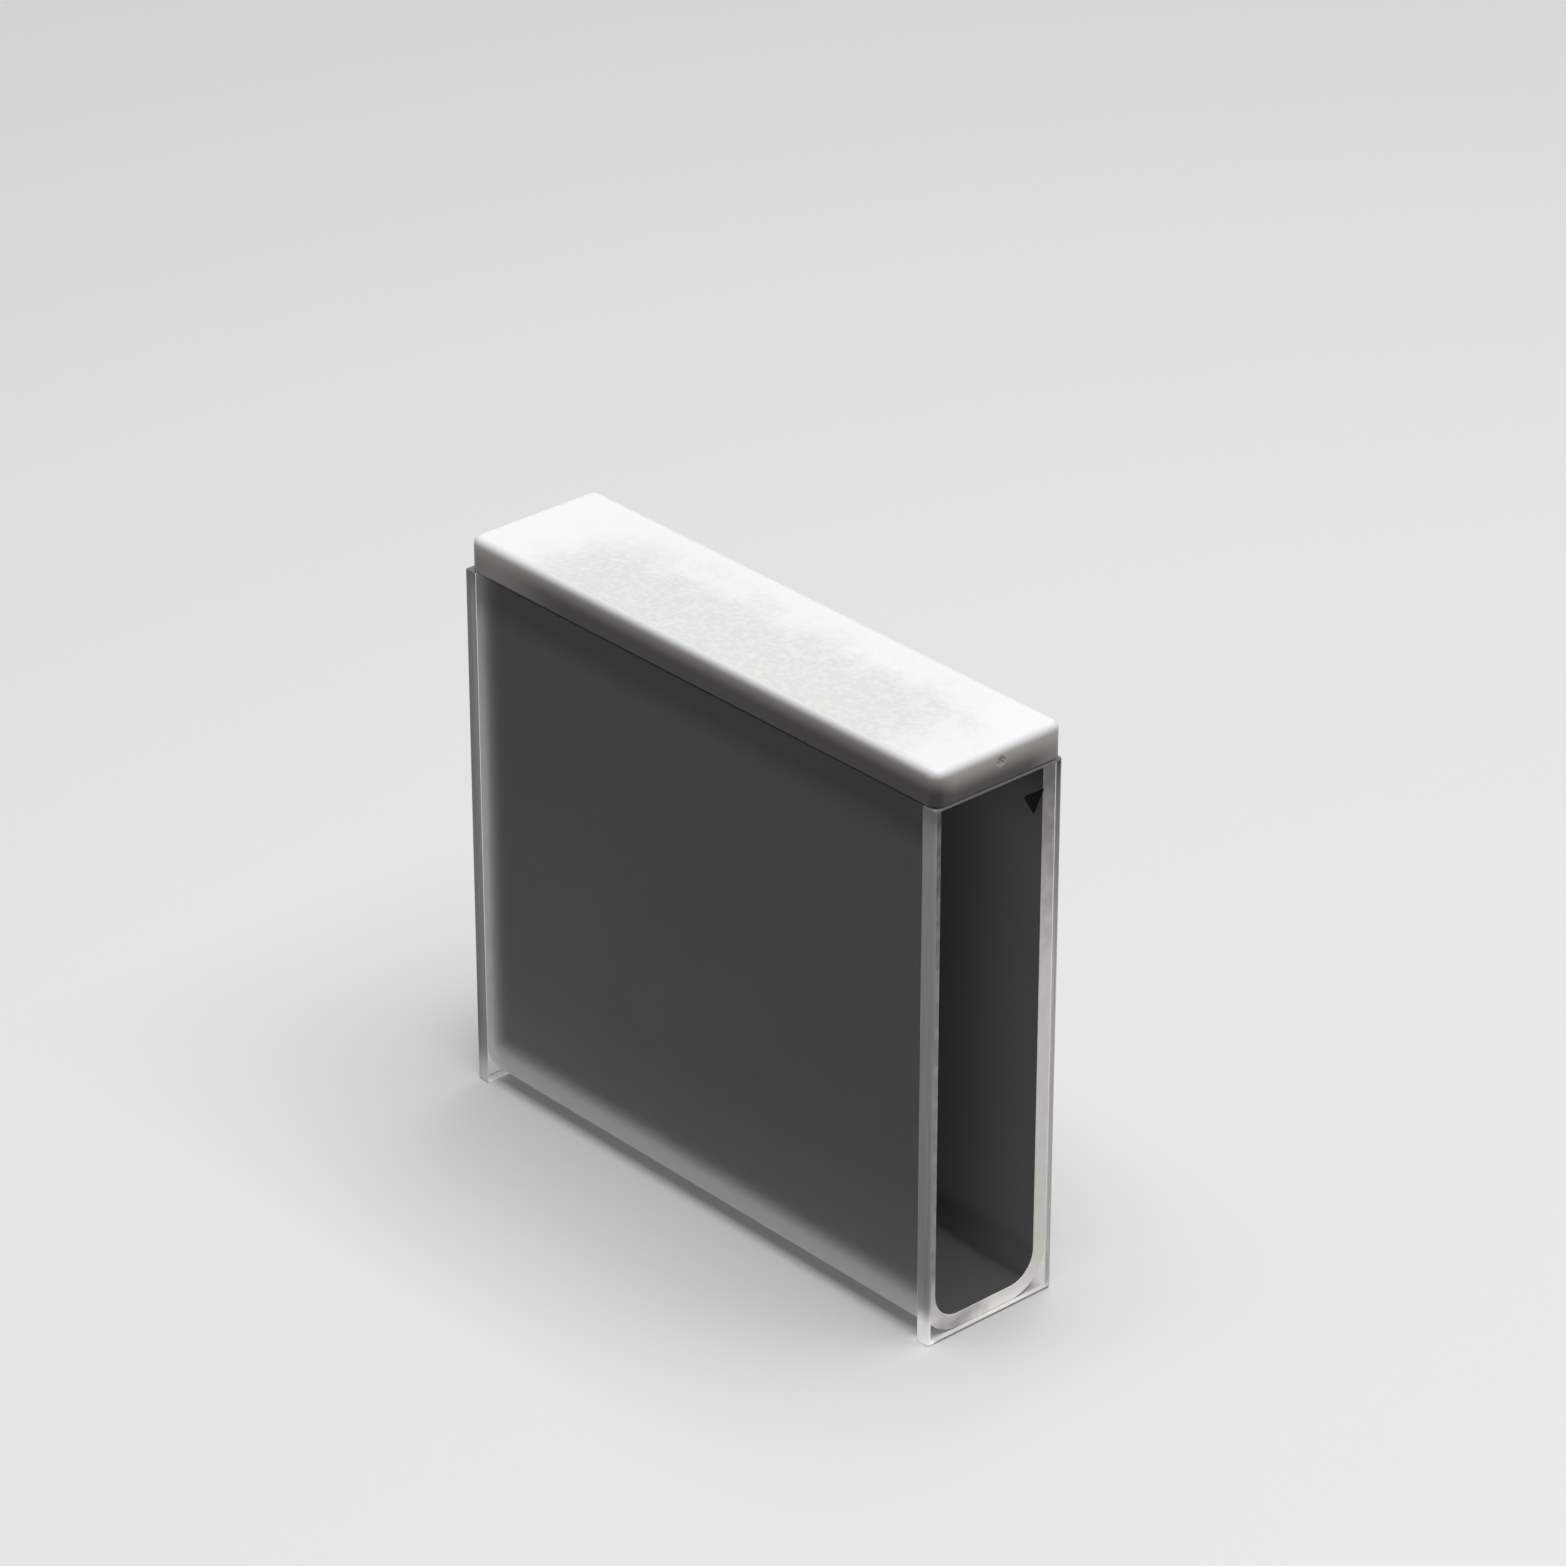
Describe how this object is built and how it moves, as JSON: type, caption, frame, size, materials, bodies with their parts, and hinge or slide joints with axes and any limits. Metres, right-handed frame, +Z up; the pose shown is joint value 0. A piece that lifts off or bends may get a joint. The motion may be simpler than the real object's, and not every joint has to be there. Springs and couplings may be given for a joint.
{
  "type": "cuvette",
  "caption": "Long-path rectangular optical cell: a ground U-shaped trough closed by clear polished end windows, with a loose flat lid.",
  "frame": {"origin": "middle of the base, in the plane that the cell stands on", "axes": "+Z up out of the mouth; X along the light path, +X out through the front window; Y across the two ground side walls"},
  "size_m": [0.0524, 0.0126, 0.048],
  "materials": {
    "ground_quartz": "ground, satin, smoky grey and translucent",
    "polished_quartz": "clear and polished",
    "white_lid": "satin white fluoropolymer, faintly mottled on top"
  },
  "bodies": {
    "root": {"trough": "ground_quartz", "front_window": "polished_quartz", "rear_window": "polished_quartz", "lid": "white_lid"}
  },
  "joints": []
}
